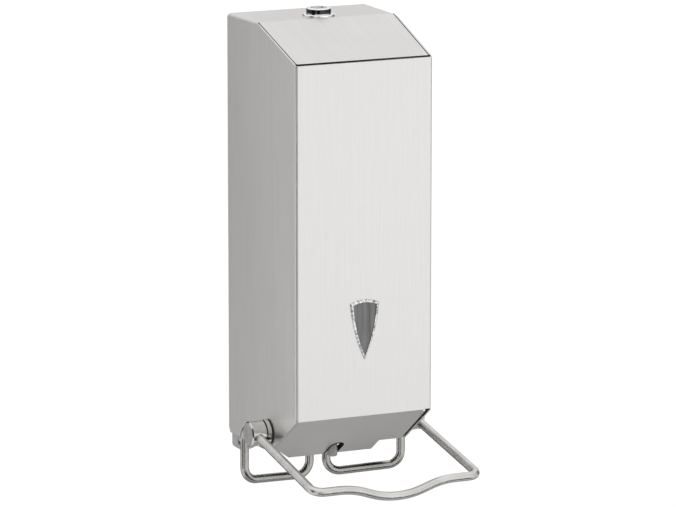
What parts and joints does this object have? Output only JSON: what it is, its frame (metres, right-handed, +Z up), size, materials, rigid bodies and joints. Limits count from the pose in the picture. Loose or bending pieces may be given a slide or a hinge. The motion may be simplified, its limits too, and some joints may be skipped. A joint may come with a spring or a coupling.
{
  "type": "elbow operated wall soap dispenser",
  "caption": "Tall brushed steel wall soap dispenser with a bent-wire elbow lever, a key-locked cover that swings open, a level window and a piston pump.",
  "frame": {"origin": "on the wall face of the bracket, at the centre of the four mounting holes", "axes": "+Z up, +Y into the wall, so the dispenser faces -Y; +X to the viewer's right"},
  "size_m": [0.1369, 0.1767, 0.3468],
  "materials": {
    "brushed_case": "vertical brushed stainless steel",
    "plain_sheet": "plain mill-finish stainless sheet",
    "satin_wire": "satin drawn stainless wire",
    "turned_steel": "turned stainless steel",
    "chrome": "bright chrome plate",
    "bright_steel": "bright stainless steel",
    "tank_plastic": "translucent polyethylene",
    "lid_plastic": "white polyethylene",
    "pump_plastic": "natural acetal",
    "dark_plastic": "black nylon",
    "grey_plastic": "grey acetal",
    "seal_rubber": "black nitrile rubber",
    "clear_rim": "bright bevelled rim",
    "smoked_lens": "smoked acrylic"
  },
  "bodies": {
    "wall_unit": {"bush_left": "dark_plastic", "bush_right": "dark_plastic", "catch_rivets": "bright_steel", "inner_spacer_left": "turned_steel", "inner_spacer_right": "turned_steel", "lid_pin": "bright_steel", "lock_catch": "plain_sheet", "nozzle_tip": "grey_plastic", "outer_spacer_left": "dark_plastic", "outer_spacer_right": "dark_plastic", "outlet_valve": "seal_rubber", "pump_body": "pump_plastic", "pump_gland": "pump_plastic", "pump_nut": "pump_plastic", "shelf_screws": "bright_steel", "soap_tank": "tank_plastic", "spout_tube": "bright_steel", "tank_seal": "seal_rubber", "tank_shelf": "plain_sheet", "wall_bracket": "plain_sheet", "washer_left": "turned_steel", "washer_right": "turned_steel"},
    "cover": {"cover_shell": "brushed_case", "sloping_panel": "brushed_case", "notch_trim": "seal_rubber", "panel_gasket": "seal_rubber", "flap_seal_left": "seal_rubber", "flap_seal_right": "seal_rubber", "window_rim": "clear_rim", "window_lens": "smoked_lens", "window_clip": "plain_sheet", "lock_body": "chrome", "lock_nut": "chrome"},
    "lock_barrel": {"lock_barrel": "chrome", "lock_cam": "bright_steel", "cam_screw": "bright_steel"},
    "lever": {"elbow_wire": "satin_wire", "hub_left": "turned_steel", "hub_right": "turned_steel", "crank_wire_left": "satin_wire", "crank_wire_right": "satin_wire", "link_pin": "bright_steel", "grub_screws": "bright_steel", "retaining_rings": "bright_steel"},
    "plunger": {"piston_rod": "bright_steel", "piston_seal": "seal_rubber", "pump_spring": "bright_steel"},
    "inlet_ball": {"inlet_ball": "bright_steel"},
    "filler_lid": {"filler_lid": "lid_plastic"}
  },
  "joints": [
    {"name": "lever_hinge", "type": "hinge", "parent": "wall_unit", "child": "lever", "pos_m": [0, -0.0693, -0.1454], "axis": [1, 0, 0], "range_deg": [0, 15], "stiffness_Nm_per_rad": 0.76, "springref_deg": -12.03},
    {"name": "plunger_slide", "type": "slide", "parent": "wall_unit", "child": "plunger", "axis": [0, 0, 1], "range_m": [0, 0.00884], "deforming": ["pump_spring"]},
    {"name": "ball_lift", "type": "slide", "parent": "wall_unit", "child": "inlet_ball", "axis": [0, 0, 1], "range_m": [0, 0.0016]},
    {"name": "cover_hinge", "type": "hinge", "parent": "wall_unit", "child": "cover", "pos_m": [0, -0.0693, -0.1454], "axis": [1, 0, 0], "range_deg": [0, 35]},
    {"name": "lock_turn", "type": "hinge", "parent": "cover", "child": "lock_barrel", "pos_m": [0, -0.0385, 0.15], "axis": [0, 0, 1], "range_deg": [0, 90]},
    {"name": "lid_hinge", "type": "hinge", "parent": "wall_unit", "child": "filler_lid", "pos_m": [0, -0.058, 0.0504], "axis": [-1, 0, 0], "range_deg": [0, 100]}
  ],
  "couplings": [
    {"joint": "plunger_slide", "follows": "lever_hinge", "m_per_rad": 0.033},
    {"joint": "ball_lift", "follows": "lever_hinge", "m_per_rad": 0.0057}
  ]
}
